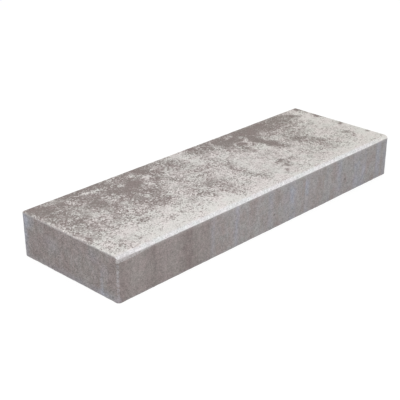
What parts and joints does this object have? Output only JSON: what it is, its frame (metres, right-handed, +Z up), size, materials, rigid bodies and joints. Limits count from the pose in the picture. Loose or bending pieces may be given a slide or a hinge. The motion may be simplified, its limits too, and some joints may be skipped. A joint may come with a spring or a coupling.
{
  "type": "concrete step block",
  "caption": "Solid rectangular concrete block laid as one outdoor step, with a chamfered front nosing, small arrises and a cloudy pale tread.",
  "frame": {"origin": "middle of the underside, on the surface that the block is bedded on", "axes": "+X along the step, -Y out of the riser with its chamfered nosing, +Z up out of the tread"},
  "size_m": [1, 0.33, 0.115],
  "materials": {
    "concrete": "matt cast concrete, brown-grey with pale cream clouds on the tread"
  },
  "bodies": {
    "root": {"step_block": "concrete"}
  },
  "joints": []
}
